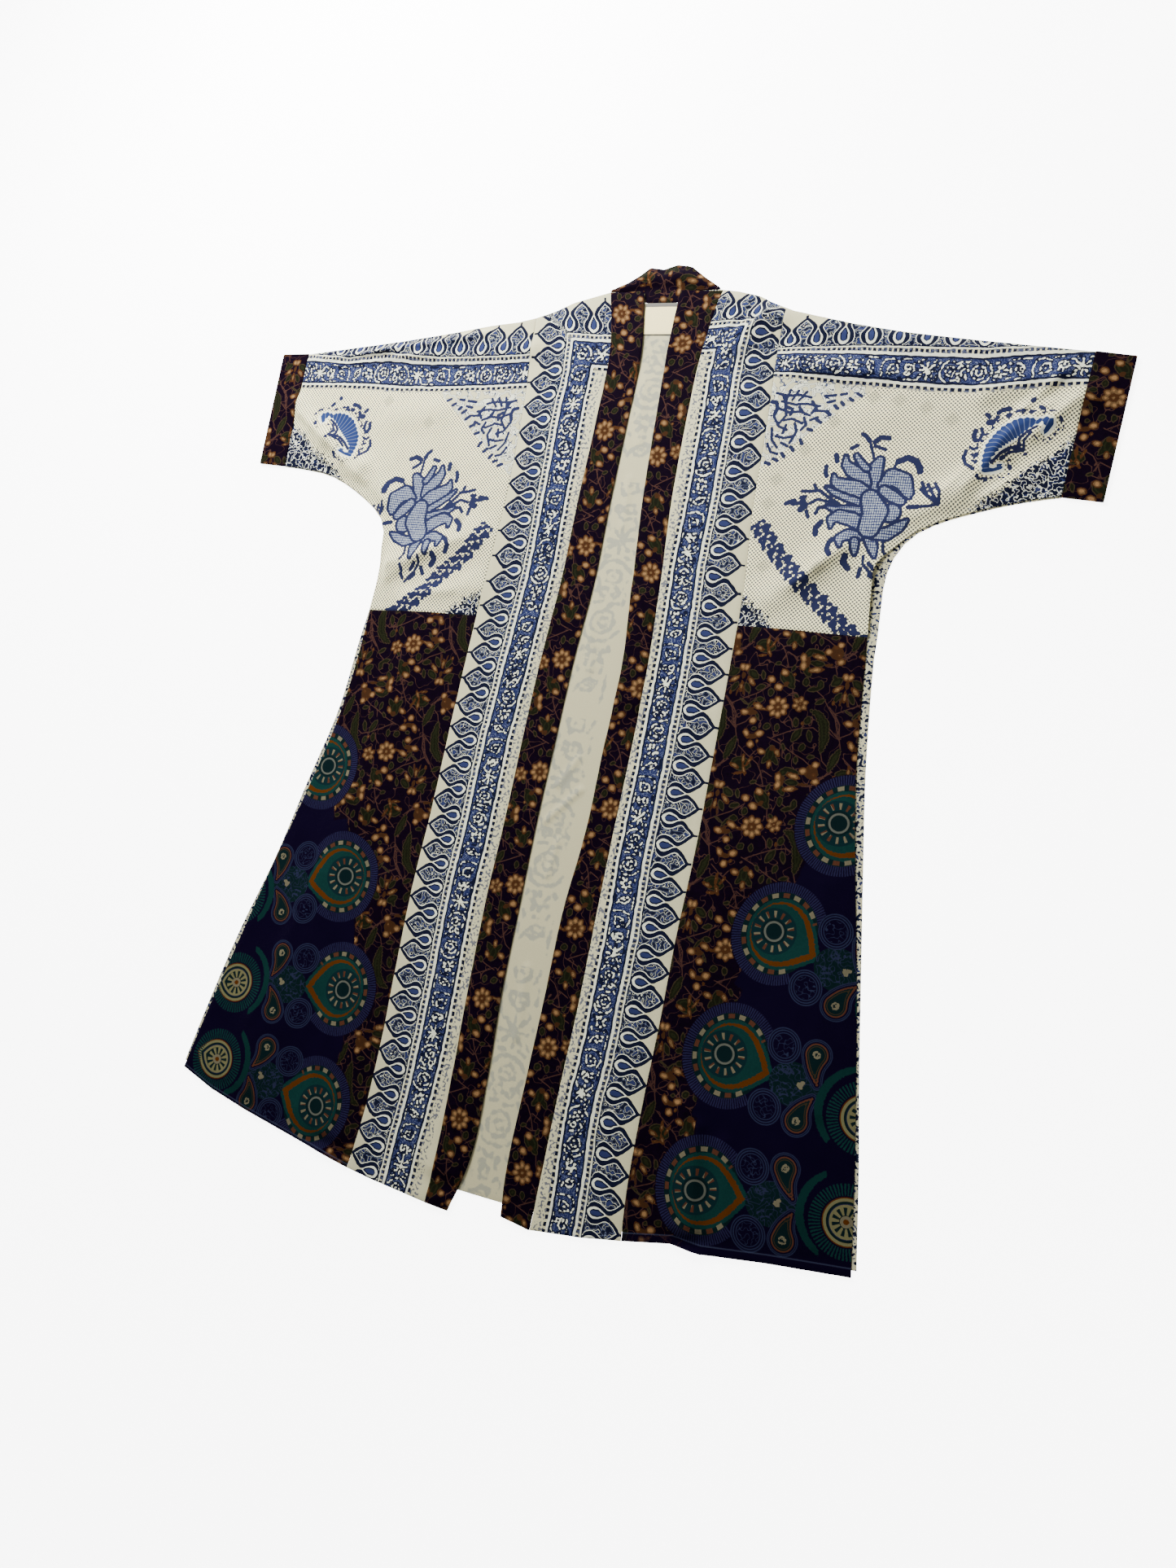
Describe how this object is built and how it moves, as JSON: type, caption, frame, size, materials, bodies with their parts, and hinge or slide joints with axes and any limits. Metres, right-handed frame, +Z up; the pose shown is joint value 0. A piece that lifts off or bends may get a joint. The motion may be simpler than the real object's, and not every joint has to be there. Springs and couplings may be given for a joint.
{
  "type": "abaya",
  "caption": "Open-front abaya with kimono sleeves, laid flat: a back, front yokes, skirt panels, border strips, front bands, neck band and cuffs.",
  "frame": {"origin": "middle of the garment's underside, on the surface that it lies on", "axes": "+Y along the garment to the neck, +X across it to the right as seen from above, +Z up from the surface"},
  "size_m": [1.1015, 1.17, 0.0147],
  "materials": {
    "cream_print": "matt plain-woven cream cloth with a blue block print",
    "border_print": "matt plain-woven cloth with a blue border print",
    "dark_floral": "soft dark plain-woven cloth with a small floral print",
    "label_cloth": "bare woven satin label"
  },
  "bodies": {
    "root": {"back_panel": "cream_print", "yoke_sleeve_left": "cream_print", "yoke_sleeve_right": "cream_print", "skirt_left": "dark_floral", "skirt_right": "dark_floral", "strip_left": "border_print", "strip_right": "border_print", "band_left": "dark_floral", "band_right": "dark_floral", "band_back_neck": "dark_floral", "cuff_left": "dark_floral", "cuff_right": "dark_floral", "label": "label_cloth"}
  },
  "joints": []
}
